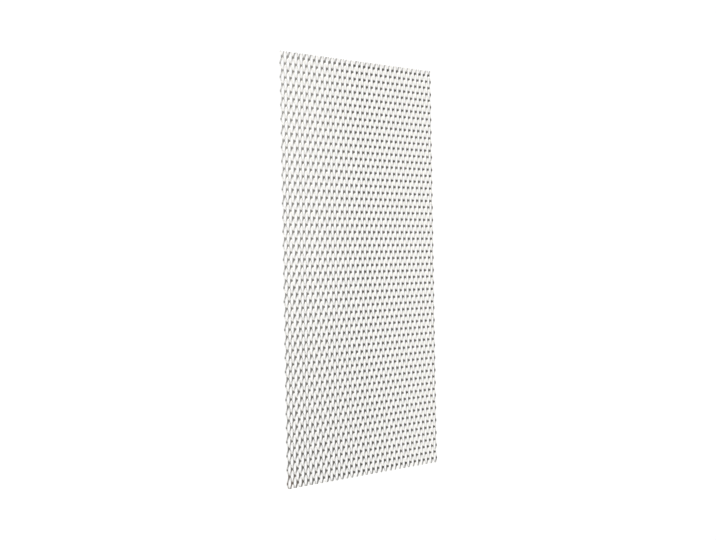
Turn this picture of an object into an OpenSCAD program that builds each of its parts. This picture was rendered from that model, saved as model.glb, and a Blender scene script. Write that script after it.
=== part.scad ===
// Raised expanded metal sheet: one thin plate, slit in staggered rows and drawn out into
// a diamond mesh. Every strand row is a zigzag ribbon standing nearly on edge, and each
// row hangs from the one before it at the bonds, which the slits leave uncut.
// The sheet lies flat: X runs across the strand rows, Y along the long way of the
// diamonds, Z up. The origin is at the middle of the underside.

/* [Sheet] */
// Length of the sheet, along the long way of the diamonds
sheet_length = 500; // [200:1:1000]
// Width of the sheet, which takes as many strand rows as fit
sheet_width = 250; // [100:1:500]

/* [Diamond] */
// Long way of one diamond, from bond to bond
long_way = 16; // [12:0.5:30]
// Short way of one diamond, from bond to bond
short_way = 8; // [6:0.5:14]

/* [Strand] */
// Width of a strand, the feed of the plate between two slits
strand_width = 1.5; // [1:0.1:2.2]
// Thickness of the plate
plate_thickness = 1; // [0.5:0.1:1.5]

/* [Hidden] */
// Runs of neighbouring rows that the mesh is built in
strip_count = 8;

// Distance between rows, and between the crests and hollows along a row
row_pitch = short_way / 2;
bond_pitch = long_way / 2;
// Levels in the press are kept to round steps, so that neighbouring rows meet exactly
level_step = 0.01;
function to_step(length) = round(length / level_step) * level_step;
// How far each row drops below the last in the press
row_drop = to_step(sqrt(row_pitch^2 - strand_width^2));
// Tilt of the strands that lays the drawn-out rows level again
tilt = atan2(row_drop, strand_width);
// Rows run this hair into each other, because the bonds are one metal
weld_overlap = 0.000001;
// Slope of a strand between two bonds, and the plate's thickness measured upright on it
strand_slope = atan2(row_drop, bond_pitch);
edge_height = to_step(plate_thickness / cos(strand_slope));
row_height = row_drop + edge_height;
// Breadth and height of one tilted row
row_breadth = strand_width * cos(tilt) + row_height * sin(tilt);
mesh_height = strand_width * sin(tilt) + row_height * cos(tilt);
// Rows that fit in the width, and bends enough to run past both cut ends
strand_rows = floor((sheet_width - row_breadth) / row_pitch) + 1;
bends_each_way = ceil(sheet_length / long_way) + 1;

// Level of a row's middle line at a crest or hollow: rows are staggered by one bond pitch
function bend_level(row, index) =
    ((index + row) % 2 == 0 ? -1 : 1) * row_drop / 2;

// One edge of a row's ribbon: side is 1 for the upper edge and -1 for the lower
function ribbon_edge(row, side) =
    [for (index = [-bends_each_way - 1 : bends_each_way])
        [(index + 1 / 2) * bond_pitch, bend_level(row, index) + side * edge_height / 2]];

function reversed(points) =
    [for (i = [len(points) - 1 : -1 : 0]) points[i]];

// The zigzag ribbon of one row, sheared off square at both ends of the sheet
module ribbon(row) {
    intersection() {
        polygon(concat(ribbon_edge(row, 1), reversed(ribbon_edge(row, -1))));
        square([sheet_length, 2 * row_height], center = true);
    }
}

// One strand row as it leaves the press: a feed further on and a drop lower than the last
module strand_row(row) {
    steps = row - (strand_rows - 1) / 2;
    translate([steps * strand_width, 0, -steps * row_drop])
        rotate([90, 0, 90])
            linear_extrude(strand_width + weld_overlap, center = true)
                ribbon(row);
}

// A run of neighbouring rows, joined at their bonds and tilted level
module mesh_strip(number) {
    first = round((number - 1) * strand_rows / strip_count);
    last = round(number * strand_rows / strip_count) - 1;
    color("gainsboro")
        translate([0, 0, mesh_height / 2])
            rotate([0, -tilt, 0])
                union()
                    for (row = [first : last])
                        strand_row(row);
}

for (number = [1 : strip_count])
    mesh_strip(number);
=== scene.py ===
import math

import bmesh
import bpy
from mathutils import Matrix, Vector


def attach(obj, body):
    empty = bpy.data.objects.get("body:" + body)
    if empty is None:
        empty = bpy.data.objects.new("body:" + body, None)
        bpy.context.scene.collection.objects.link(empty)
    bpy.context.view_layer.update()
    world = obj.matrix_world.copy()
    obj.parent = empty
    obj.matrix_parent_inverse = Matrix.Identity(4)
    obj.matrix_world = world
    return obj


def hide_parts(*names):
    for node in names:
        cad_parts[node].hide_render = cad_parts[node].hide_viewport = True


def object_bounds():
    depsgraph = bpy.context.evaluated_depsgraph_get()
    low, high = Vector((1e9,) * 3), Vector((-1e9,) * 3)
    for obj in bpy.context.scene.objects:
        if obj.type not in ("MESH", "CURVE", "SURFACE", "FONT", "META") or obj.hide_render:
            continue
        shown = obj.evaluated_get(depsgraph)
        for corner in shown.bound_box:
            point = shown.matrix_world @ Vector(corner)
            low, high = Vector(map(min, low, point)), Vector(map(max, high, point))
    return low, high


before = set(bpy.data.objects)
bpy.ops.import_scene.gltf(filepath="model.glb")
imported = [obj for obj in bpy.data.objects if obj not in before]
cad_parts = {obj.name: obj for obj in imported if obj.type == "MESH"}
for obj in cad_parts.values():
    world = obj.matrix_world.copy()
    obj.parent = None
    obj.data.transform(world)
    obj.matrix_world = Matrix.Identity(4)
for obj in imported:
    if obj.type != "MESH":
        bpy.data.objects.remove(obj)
cad_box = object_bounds()

# Camera.
# The sheet lies flat, so the view that the photograph has of it standing becomes a view from its
# left side, 47 degrees down, with the sheet's long side running up the picture.
MM = 0.001
IMAGE_WIDTH = 716
FOCAL_PIXELS = 1200
EYE_DISTANCE = 1448 * MM
EYE_ELEVATION = math.radians(47.2)
EYE_SWING = math.radians(0.6)
EYE_ROLL = math.radians(-0.98)
AIM = Vector((-6.5, -1.7, 0)) * MM

camera_data = bpy.data.cameras.new("camera")
camera_data.sensor_width = 36
camera_data.lens = camera_data.sensor_width * FOCAL_PIXELS / IMAGE_WIDTH
camera_data.clip_start = 10 * MM
camera = bpy.data.objects.new("camera", camera_data)
bpy.context.collection.objects.link(camera)
bpy.context.scene.camera = camera
camera_back = Vector((
    -math.cos(EYE_SWING) * math.cos(EYE_ELEVATION),
    math.sin(EYE_SWING) * math.cos(EYE_ELEVATION),
    math.sin(EYE_ELEVATION),
))
camera_right = Vector((0, 1, 0)).cross(camera_back).normalized()
camera_up = camera_back.cross(camera_right)
upright = Matrix((camera_right, camera_up, camera_back)).transposed()
camera_turn = upright @ Matrix.Rotation(EYE_ROLL, 3, "Z")
camera.matrix_world = Matrix.Translation(AIM + EYE_DISTANCE * camera_back) @ camera_turn.to_4x4()

# Expanded sheet.
# One rolled aluminium plate, slit in staggered rows and drawn out by the press, so that every row
# becomes a wavy ribbon on edge that hangs from its neighbour at the bonds. Its two ends are sheared.
SHEET_LENGTH = 500 * MM
PLATE = 1.0 * MM
STRAND = 1.5 * MM
ROW_DROP = 3.71 * MM
BOND_PITCH = 8 * MM
ROWS = 62
TILT = math.atan2(ROW_DROP, STRAND)
SHEET_MIDDLE = (cad_box[0][2] + cad_box[1][2]) / 2

# From a crest to the next hollow a ribbon has half a flat, a bend, a straight strand, a bend and
# half a flat. The bonds are as long as the crests' flats.
CREST_FLAT = 0.6 * MM
HOLLOW_FLAT = 1.3 * MM
BEND = 0.7 * MM
STRAIGHT_START = CREST_FLAT + BEND
STRAIGHT_END = BOND_PITCH - HOLLOW_FLAT - BEND
FALL = 1 / (STRAIGHT_END - STRAIGHT_START + BEND)
# Where the plate gets its crosswise edges, on each side of a crest or hollow
NEAR_BEND = [
    0, CREST_FLAT, CREST_FLAT + BEND / 2, HOLLOW_FLAT, HOLLOW_FLAT + BEND, HOLLOW_FLAT + 2 * BEND]
STATIONS = NEAR_BEND + [BOND_PITCH / 2] + [BOND_PITCH - near for near in NEAR_BEND[:0:-1]]
# Half waves along a row, enough to run past both ends before they are sheared off
HALF_WAVES = 64
# Edges sharper than this are sheared ones, and are broken by a small chamfer
SHARP = math.radians(60)
EDGE_BREAK = 0.1 * MM
# Bends gentler than this are shaded as round
SMOOTH_BEND = math.radians(35)
# How squarely a surface has to face a way, before the tilt, to be a cut side, a sheared end or a top
FACES_SIDE = 0.5
FACES_END = 0.9
FACES_UP = 0.3
# A piece's two finishes, in the order of its materials
ROLLED_FINISH = 0
SHEARED_FINISH = 1

# Each bond carries a dark wedge of painted shade with a soft rim on its top. It reaches this far
# along the rows at its left and at its right end. Wedges get shallower towards the left edge of the
# sheet, most of all at its far corner, and smaller towards the right edge.
MARK_TALL = 2.1 * MM
MARK_SHORT = 1.0 * MM
MARK_FADE = 0.8 * MM
LEFT_SHALLOWER = 0.2
RIGHT_SMALLER = 0.12
# Painted shade also greys the strand on the far side of each crest, most next to the hollow and
# towards the near left corner of the sheet, where it greys the strand on the crest's other side too.
SHADE_FLANK = 0.14
SHADE_HOLLOW = 1.1
SHADE_BACK = 1.5
SHADE_STEEPNESS = 3
SHADE_FAR = 0.6
SHADE_RIGHT = 0.8
SHADE_MOST = 0.8
# Painted shade darkens those strands more at the two ends, and the outer bends of the two side rows
END_SHADE = 0.4
SIDE_SHADE = 0.24


def wave_level(along):
    """Level of a ribbon at a distance from its crest: 1 on the crest, 0 in the hollow."""
    if along <= CREST_FLAT:
        return 1
    if along < STRAIGHT_START:
        return 1 - FALL * (along - CREST_FLAT) ** 2 / (2 * BEND)
    if along < STRAIGHT_END:
        return 1 - FALL * (along - STRAIGHT_START + BEND / 2)
    if along < BOND_PITCH - HOLLOW_FLAT:
        return FALL * (BOND_PITCH - HOLLOW_FLAT - along) ** 2 / (2 * BEND)
    return 0


def past_crest(row, y):
    """Way along a row from its nearest crest: neighbouring rows have theirs one bond pitch apart."""
    wave = 2 * BOND_PITCH
    way = y - BOND_PITCH * (0.5 if row % 2 else 1.5)
    return way - wave * round(way / wave)


def crest_distance(row, y):
    """Distance along a row to its nearest crest."""
    return abs(past_crest(row, y))


def row_at(x):
    """The row that holds a place across the flat plate."""
    return math.floor(x / STRAND + ROWS / 2)


def slit_at(x):
    """The slit line nearest to a place across the flat plate, numbered as the row on its right."""
    return round(x / STRAND + ROWS / 2)


def is_bond(slit, y):
    """Whether a slit line is left uncut here, as it is at the crests of the row on its right."""
    return crest_distance(slit, y) < CREST_FLAT


def middle_of(edge):
    """The middle of an edge."""
    return (edge.verts[0].co + edge.verts[1].co) / 2


def painted_shade(row, across, y):
    """How strong the painted shade is at a place: on its strand and in the wedge on its bond."""
    right = 2 * row / (ROWS - 1) - 1
    far = 2 * y / SHEET_LENGTH
    from_end = SHEET_LENGTH / 2 - abs(y)
    way = past_crest(row, y)
    along = abs(way)
    at_crest = along < BOND_PITCH / 2
    to_hollow = (along / BOND_PITCH) ** SHADE_STEEPNESS
    # Painted shade on the strand past the crest, and near the near left corner on the one before it
    if way > 0:
        strand_shade = SHADE_FLANK + SHADE_HOLLOW * to_hollow * (1 - SHADE_FAR * far) * (1 - SHADE_RIGHT * right)
        # More painted shade on these strands near the two ends
        if from_end < BOND_PITCH:
            strand_shade += END_SHADE
    else:
        strand_shade = SHADE_BACK * to_hollow * min(0, far) * min(0, right)
    # Painted shade on the outer bends of the two side rows
    if row == 0 and at_crest or row == ROWS - 1 and not at_crest:
        strand_shade += SIDE_SHADE
    strand_shade = min(strand_shade, SHADE_MOST)
    # The bonds that the ends cut off have no wedge
    if from_end <= BOND_PITCH / 2:
        return strand_shade
    # A wedge runs from the hollow of one row onto the crest of the row on its right
    if at_crest:
        across += 1
    else:
        along = BOND_PITCH - along
    reach = MARK_TALL + (MARK_SHORT - MARK_TALL) * across / 2
    reach *= 1 - RIGHT_SMALLER * max(0, right)
    wedge = min(1, max(0, (reach - along) / MARK_FADE + 0.5))
    depth = 1 + LEFT_SHALLOWER * min(0, right) * (1 + SHADE_FAR * far)
    return strand_shade + max(0, depth - strand_shade) * wedge


def run_of_rows(first, last):
    """A run of rows: a flat plate that is slit, drawn out, given its thickness and tilted level."""
    bm = bmesh.new()
    rows = last - first + 1
    steps = HALF_WAVES * len(STATIONS)
    bmesh.ops.create_grid(bm, x_segments=rows, y_segments=steps, size=0.5)
    for vert in bm.verts:
        slit = first + round((vert.co.x + 0.5) * rows)
        wave, station = divmod(round((vert.co.y + 0.5) * steps), len(STATIONS))
        vert.co.x = (slit - ROWS / 2) * STRAND
        vert.co.y = (wave - HALF_WAVES / 2 - 0.5) * BOND_PITCH + STATIONS[station]
    slits = []
    for edge in bm.edges:
        middle = middle_of(edge)
        lengthwise = abs(edge.verts[0].co.x - edge.verts[1].co.x) < STRAND / 2
        uncut = edge.is_boundary or is_bond(slit_at(middle.x), middle.y)
        if lengthwise and not uncut:
            slits.append(edge)
    bmesh.ops.split_edges(bm, edges=slits)
    for vert in bm.verts:
        row = row_at(vert.link_faces[0].calc_center_median().x)
        level = wave_level(crest_distance(row, vert.co.y)) - 0.5
        vert.co.z = (level - (row - (ROWS - 1) / 2)) * ROW_DROP + PLATE / 2
    bm.normal_update()
    bmesh.ops.solidify(bm, geom=bm.faces[:], thickness=PLATE)
    for end in (-1, 1):
        sheared_off = bmesh.ops.bisect_plane(
            bm, geom=bm.verts[:] + bm.edges[:] + bm.faces[:], clear_outer=True,
            plane_co=(0, end * SHEET_LENGTH / 2, 0), plane_no=(0, end, 0))
        rims = [part for part in sheared_off["geom_cut"] if isinstance(part, bmesh.types.BMEdge)]
        for face in bmesh.ops.edgenet_fill(bm, edges=rims)["faces"]:
            face.normal_update()
            if face.normal.y * end < 0:
                face.normal_flip()
    bm.normal_update()
    # Neighbouring runs are one metal at their bonds, so the edges there aren't broken
    sheared = []
    for edge in bm.edges:
        middle = middle_of(edge)
        slit = slit_at(middle.x)
        joined = slit in (first, last + 1) and is_bond(slit, middle.y)
        if edge.is_manifold and edge.calc_face_angle() > SHARP and not joined:
            sheared.append(edge)
    bmesh.ops.bevel(
        bm, geom=sheared, offset=EDGE_BREAK, offset_type="OFFSET", affect="EDGES",
        segments=1, profile=0.5, material=-1, clamp_overlap=True)
    bm.normal_update()
    for face in bm.faces:
        face.smooth = True
        is_cut = abs(face.normal.x) > FACES_SIDE or abs(face.normal.y) > FACES_END
        face.material_index = SHEARED_FINISH if is_cut else ROLLED_FINISH
    # The painted shade is on the tops and on the right cut sides, which the tilt turns upwards
    mark = bm.verts.layers.float.new("painted_shade")
    for vert in bm.verts:
        around = [face.calc_center_median().x for face in vert.link_faces]
        row = row_at(sum(around) / len(around))
        across = vert.co.x / STRAND + ROWS / 2 - row
        reached = vert.normal.z > FACES_UP or vert.normal.x > FACES_SIDE
        vert[mark] = painted_shade(row, across, vert.co.y) if reached else 0
    bmesh.ops.rotate(bm, verts=bm.verts[:], cent=(0, 0, 0), matrix=Matrix.Rotation(-TILT, 3, "Y"))
    bmesh.ops.translate(bm, verts=bm.verts[:], vec=(0, 0, SHEET_MIDDLE))
    return bm


def linear(code):
    """A hex colour as the eye sees it, as the linear values that a shader takes."""
    parts = [int(code[place:place + 2], 16) / 255 for place in (1, 3, 5)]
    return [p / 12.92 if p <= 0.04045 else ((p + 0.055) / 1.055) ** 2.4 for p in parts] + [1]


def add_node(tree, kind, inputs, **settings):
    """Adds a shader node: settings are its options, inputs the values of its sockets or their links."""
    node = tree.nodes.new(kind)
    for name, value in settings.items():
        setattr(node, name, value)
    for name, value in inputs.items():
        if isinstance(value, bpy.types.NodeSocket):
            tree.links.new(value, node.inputs[name])
        else:
            node.inputs[name].default_value = value
    return node


def new_tree(name):
    """A new material and its empty node tree."""
    material = bpy.data.materials.new(name)
    material.use_nodes = True
    material.node_tree.nodes.clear()
    return material, material.node_tree


# Mill-finish aluminium as it leaves the rolls: bright and slightly warm, with fine lines along the
# sheet and faint cloudy oxide. Painted shade darkens it in a wedge on each bond and along some strands,
# and turns a little brown near one corner. The rolling lines are drawn 5 times too coarse, to show.
BRIGHT_METAL = "#fbfaf7"
OXIDE = "#f2f0ec"
OXIDE_CLOUDS = 14 * MM
ROLLING_LINES = 0.25 * MM
LINE_STRETCH = 0.05
LINE_DEPTH = 0.02 * MM
ROUGHNESS_LOW = 0.24
ROUGHNESS_HIGH = 0.38
# Colour of the painted shade on the bonds and strands
SHADE_COLOUR = "#4e4d4a"
MARK_GRAIN = 2.5 * MM
MARK_PATCH_LOW = 0.9
CORNER_BROWN = "#766a62"
BROWN_CORNER = Vector((-121, -250, 2)) * MM
BROWN_REACH = 26 * MM
BROWN_STRENGTH = 1.2
# Nearly all of a noise pattern lies between these values
NOISE_LOW = 0.3
NOISE_HIGH = 0.7

rolled, tree = new_tree("mill_rolled_aluminium")
place = add_node(tree, "ShaderNodeTexCoord", {}).outputs["Object"]
along_sheet = add_node(tree, "ShaderNodeMapping", {"Vector": place, "Scale": (1, LINE_STRETCH, 1)})
lines = add_node(tree, "ShaderNodeTexNoise", {
    "Vector": along_sheet.outputs["Vector"], "Scale": 1 / ROLLING_LINES, "Detail": 3})
clouds = add_node(tree, "ShaderNodeTexNoise", {
    "Vector": place, "Scale": 1 / OXIDE_CLOUDS, "Detail": 4})
cloudy = add_node(tree, "ShaderNodeMix", {
    "Factor": clouds.outputs["Fac"], "A": linear(BRIGHT_METAL), "B": linear(OXIDE)}, data_type="RGBA")
grain = add_node(tree, "ShaderNodeTexNoise", {
    "Vector": place, "Scale": 1 / MARK_GRAIN, "Detail": 2})
patchy = add_node(tree, "ShaderNodeMapRange", {
    "Value": grain.outputs["Fac"], "From Min": NOISE_LOW, "From Max": NOISE_HIGH,
    "To Min": MARK_PATCH_LOW, "To Max": 1.0})
# Strength of the painted shade, as kept on the mesh
mark = add_node(tree, "ShaderNodeAttribute", {}, attribute_name="painted_shade")
shade_share = add_node(tree, "ShaderNodeMath", {
    0: mark.outputs["Fac"], 1: patchy.outputs["Result"]}, operation="MULTIPLY")
marked = add_node(tree, "ShaderNodeMix", {
    "Factor": shade_share.outputs[0], "A": cloudy.outputs["Result"], "B": linear(SHADE_COLOUR)},
    data_type="RGBA")
# The painted shade turns brown near one corner of the sheet
from_corner = add_node(tree, "ShaderNodeVectorMath", {
    0: place, 1: BROWN_CORNER}, operation="DISTANCE")
near_corner = add_node(tree, "ShaderNodeMapRange", {
    "Value": from_corner.outputs["Value"], "From Min": 0, "From Max": BROWN_REACH,
    "To Min": BROWN_STRENGTH, "To Max": 0})
brown_share = add_node(tree, "ShaderNodeMath", {
    0: near_corner.outputs["Result"], 1: mark.outputs["Fac"]}, operation="MULTIPLY", use_clamp=True)
browned = add_node(tree, "ShaderNodeMix", {
    "Factor": brown_share.outputs[0], "A": marked.outputs["Result"], "B": linear(CORNER_BROWN)}, data_type="RGBA")
gloss = add_node(tree, "ShaderNodeMapRange", {
    "Value": lines.outputs["Fac"], "From Min": NOISE_LOW, "From Max": NOISE_HIGH,
    "To Min": ROUGHNESS_LOW, "To Max": ROUGHNESS_HIGH})
relief = add_node(tree, "ShaderNodeBump", {
    "Height": lines.outputs["Fac"], "Strength": 0.2, "Distance": LINE_DEPTH})
bsdf = add_node(tree, "ShaderNodeBsdfPrincipled", {
    "Base Color": browned.outputs["Result"], "Metallic": 1.0, "Roughness": gloss.outputs["Result"],
    "Normal": relief.outputs["Normal"]})
add_node(tree, "ShaderNodeOutputMaterial", {"Surface": bsdf.outputs["BSDF"]})

# Sheared aluminium: the cut sides of the strands and the sheet's ends, torn rather than rolled, so
# a little greyer and rougher, with a fine grain. The painted shade runs on over them.
TORN_LIGHT = "#f6f4f0"
TORN_DARK = "#e8e6e1"
TORN_GRAIN = 0.2 * MM
TORN_DEPTH = 0.03 * MM
TORN_ROUGHNESS = 0.45

cut, tree = new_tree("sheared_aluminium_edge")
place = add_node(tree, "ShaderNodeTexCoord", {}).outputs["Object"]
grain = add_node(tree, "ShaderNodeTexNoise", {
    "Vector": place, "Scale": 1 / TORN_GRAIN, "Detail": 3})
torn = add_node(tree, "ShaderNodeMix", {
    "Factor": grain.outputs["Fac"], "A": linear(TORN_LIGHT), "B": linear(TORN_DARK)}, data_type="RGBA")
# The painted shade, as kept on the mesh, runs on over the cut sides
mark = add_node(tree, "ShaderNodeAttribute", {}, attribute_name="painted_shade")
marked = add_node(tree, "ShaderNodeMix", {
    "Factor": mark.outputs["Fac"], "A": torn.outputs["Result"], "B": linear(SHADE_COLOUR)},
    data_type="RGBA")
relief = add_node(tree, "ShaderNodeBump", {
    "Height": grain.outputs["Fac"], "Strength": 0.3, "Distance": TORN_DEPTH})
bsdf = add_node(tree, "ShaderNodeBsdfPrincipled", {
    "Base Color": marked.outputs["Result"], "Metallic": 1.0, "Roughness": TORN_ROUGHNESS,
    "Normal": relief.outputs["Normal"]})
add_node(tree, "ShaderNodeOutputMaterial", {"Surface": bsdf.outputs["BSDF"]})

# The solids share the rows out evenly over their nodes, and so do the pieces
nodes = sorted(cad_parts)
for number, node in enumerate(nodes):
    first = math.floor(number * ROWS / len(nodes) + 0.5)
    last = math.floor((number + 1) * ROWS / len(nodes) + 0.5) - 1
    bm = run_of_rows(first, last)
    mesh = bpy.data.meshes.new(f"strands_{number + 1}")
    bm.to_mesh(mesh)
    bm.free()
    mesh.set_sharp_from_angle(angle=SMOOTH_BEND)
    mesh.materials.append(rolled)
    mesh.materials.append(cut)
    piece = bpy.data.objects.new(f"strands_{number + 1}", mesh)
    bpy.context.collection.objects.link(piece)
    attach(piece, "root")
    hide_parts(node)

# Floor and light.
# A wide floor of white paper in a white studio, with a large soft box beyond each end of the sheet
# and one above it.
FLOOR_SIZE = 40.0
FLOOR_PAPER = "#fbfbfb"
WHITE = "#ffffff"
# Where the floor is seen, this share of it is plain white, and the rest takes light and shadow
FLOOR_WHITE = 0.6


def seen_directly(tree):
    """1 for rays that show a thing to the camera, straight, mirrored or through glass, and else 0."""
    rays = add_node(tree, "ShaderNodeLightPath", {}).outputs
    mirrored = add_node(tree, "ShaderNodeMath", {
        0: rays["Is Camera Ray"], 1: rays["Is Glossy Ray"]}, operation="ADD")
    seen = add_node(tree, "ShaderNodeMath", {
        0: mirrored.outputs[0], 1: rays["Is Transmission Ray"]}, operation="ADD", use_clamp=True)
    return seen.outputs[0]


bm = bmesh.new()
bmesh.ops.create_grid(bm, x_segments=1, y_segments=1, size=FLOOR_SIZE / 2)
floor_mesh = bpy.data.meshes.new("floor")
bm.to_mesh(floor_mesh)
bm.free()
floor = bpy.data.objects.new("floor", floor_mesh)
bpy.context.collection.objects.link(floor)
paper, tree = new_tree("white_paper")
floor_mesh.materials.append(paper)
share = add_node(tree, "ShaderNodeMath", {
    0: seen_directly(tree), 1: FLOOR_WHITE}, operation="MULTIPLY")
matt = add_node(tree, "ShaderNodeBsdfDiffuse", {"Color": linear(FLOOR_PAPER)})
glow = add_node(tree, "ShaderNodeEmission", {"Color": linear(WHITE), "Strength": 1.0})
mix = add_node(tree, "ShaderNodeMixShader", {
    0: share.outputs[0], 1: matt.outputs[0], 2: glow.outputs[0]})
add_node(tree, "ShaderNodeOutputMaterial", {"Surface": mix.outputs[0]})

# Places and sizes are in metres and power in watts, and each box faces the middle of the sheet
SOFT_BOXES = {
    "far_box": {"place": (-0.9, 1.3, 0.9), "size": 1.2, "power": 9},
    "near_box": {"place": (-0.9, -1.3, 0.9), "size": 1.2, "power": 11},
    "top_box": {"place": (0.6, 0, 1.8), "size": 1.0, "power": 8},
}
for name, box in SOFT_BOXES.items():
    lamp = bpy.data.lights.new(name, "AREA")
    lamp.shape = "SQUARE"
    lamp.size = box["size"]
    lamp.energy = box["power"]
    stand = bpy.data.objects.new(name, lamp)
    bpy.context.collection.objects.link(stand)
    stand.location = box["place"]
    stand.rotation_euler = Vector(box["place"]).to_track_quat("Z", "Y").to_euler()

# The studio is plain white where it is seen or mirrored, and lights matt surfaces with this much
STUDIO_LIGHT = 0.8
world = bpy.data.worlds.new("studio")
bpy.context.scene.world = world
world.use_nodes = True
tree = world.node_tree
tree.nodes.clear()
level = add_node(tree, "ShaderNodeMapRange", {
    "Value": seen_directly(tree), "To Min": STUDIO_LIGHT, "To Max": 1.0})
studio = add_node(tree, "ShaderNodeBackground", {
    "Color": linear(WHITE), "Strength": level.outputs[0]})
add_node(tree, "ShaderNodeOutputWorld", {"Surface": studio.outputs[0]})
bpy.context.scene.view_settings.view_transform = "Standard"
